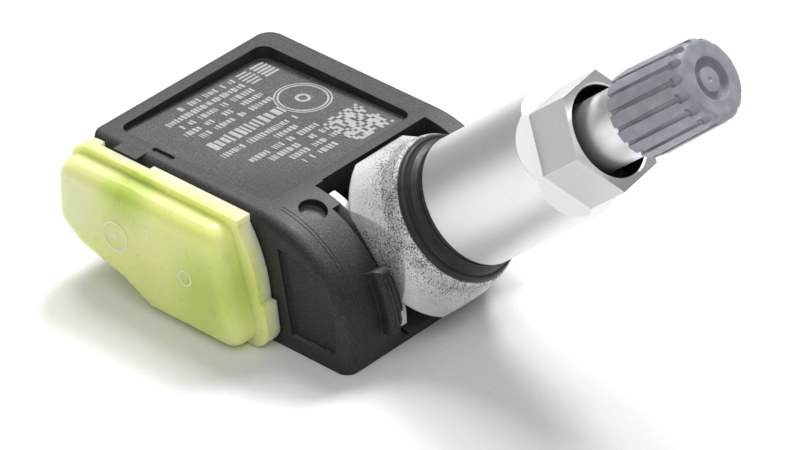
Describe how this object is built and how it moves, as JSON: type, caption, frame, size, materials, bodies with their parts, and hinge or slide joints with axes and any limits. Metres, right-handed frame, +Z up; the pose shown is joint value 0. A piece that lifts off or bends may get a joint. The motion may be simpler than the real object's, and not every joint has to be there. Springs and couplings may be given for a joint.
{
  "type": "tire pressure monitor",
  "caption": "Wheel-mounted tire pressure monitor: a flat-based sensor housing with an end lid and a clamp-in valve that swivels, with a sleeve nut and a screw cap.",
  "frame": {"origin": "centre of the housing's flat base, under the valve's swivel axis", "axes": "+X towards the valve side, -Y towards the end lid, +Z up from the flat base"},
  "size_m": [0.0748, 0.036, 0.0447],
  "materials": {
    "housing_plastic": "black glass-filled nylon, fine grain",
    "lid_plastic": "translucent yellow-green moulding",
    "cast_metal": "sand-blasted die casting",
    "satin_aluminium": "satin turned aluminium",
    "black_rubber": "matte moulded rubber",
    "cap_plastic": "grey moulded plastic",
    "washer_plastic": "black plastic",
    "pin_steel": "ground steel",
    "battery_steel": "nickel-plated steel",
    "board_laminate": "green laminate",
    "chip_black": "moulded chip package",
    "capacitor_tan": "fired ceramic",
    "ferrite": "sintered ferrite",
    "copper": "enamelled copper",
    "membrane": "porous white film",
    "core_brass": "turned brass"
  },
  "bodies": {
    "housing": {"housing": "housing_plastic", "end_lid": "lid_plastic", "swivel_pin": "pin_steel", "circuit_board": "board_laminate", "battery_cell": "battery_steel", "battery_tab_positive": "battery_steel", "battery_tab_negative": "battery_steel", "pressure_sensor_chip": "chip_black", "radio_chip": "chip_black", "radio_crystal": "battery_steel", "chip_capacitors": "capacitor_tan", "lf_coil_core": "ferrite", "lf_coil_winding": "copper", "rf_antenna": "copper", "port_gasket": "black_rubber", "port_membrane": "membrane"},
    "valve": {"valve_collar": "cast_metal", "valve_stem": "satin_aluminium", "stem_o_ring": "black_rubber", "rubber_grommet": "black_rubber", "valve_core_body": "core_brass", "valve_core_seal": "black_rubber"},
    "core_pin": {"valve_core_pin": "core_brass", "valve_core_plunger": "black_rubber", "valve_core_spring": "pin_steel"},
    "nut_washer": {"nut_washer": "washer_plastic"},
    "hex_nut": {"hex_nut": "satin_aluminium"},
    "cap_gasket": {"cap_gasket": "black_rubber"},
    "valve_cap": {"valve_cap": "cap_plastic"}
  },
  "joints": [
    {"name": "valve_swivel", "type": "hinge", "parent": "housing", "child": "valve", "pos_m": [0, 0, 0.0025], "axis": [0, -1, 0], "range_deg": [-5, 7]},
    {"name": "core_press", "type": "slide", "parent": "valve", "child": "core_pin", "axis": [-0.7421, -0.1461, -0.6542], "range_m": [0, 0.001], "stiffness_N_per_m": 300, "springref_m": -0.0006},
    {"name": "nut_travel", "type": "slide", "parent": "valve", "child": "nut_washer", "axis": [0.7421, 0.1461, 0.6542], "range_m": [0, 0.004]},
    {"name": "nut_turn", "type": "hinge", "parent": "nut_washer", "child": "hex_nut", "pos_m": [0.02226, 0.00509, 0.02153], "axis": [0.7421, 0.1461, 0.6542], "range_deg": [0, 1440]},
    {"name": "cap_travel", "type": "slide", "parent": "valve", "child": "cap_gasket", "axis": [0.7421, 0.1461, 0.6542], "range_m": [0, 0.0048]},
    {"name": "cap_turn", "type": "hinge", "parent": "cap_gasket", "child": "valve_cap", "pos_m": [0.04007, 0.0086, 0.03723], "axis": [0.7421, 0.1461, 0.6542], "range_deg": [0, 2160]}
  ],
  "couplings": [
    {"joint": "nut_turn", "follows": "nut_travel", "rad_per_m": 6282.6},
    {"joint": "cap_turn", "follows": "cap_travel", "rad_per_m": 7853.2}
  ]
}
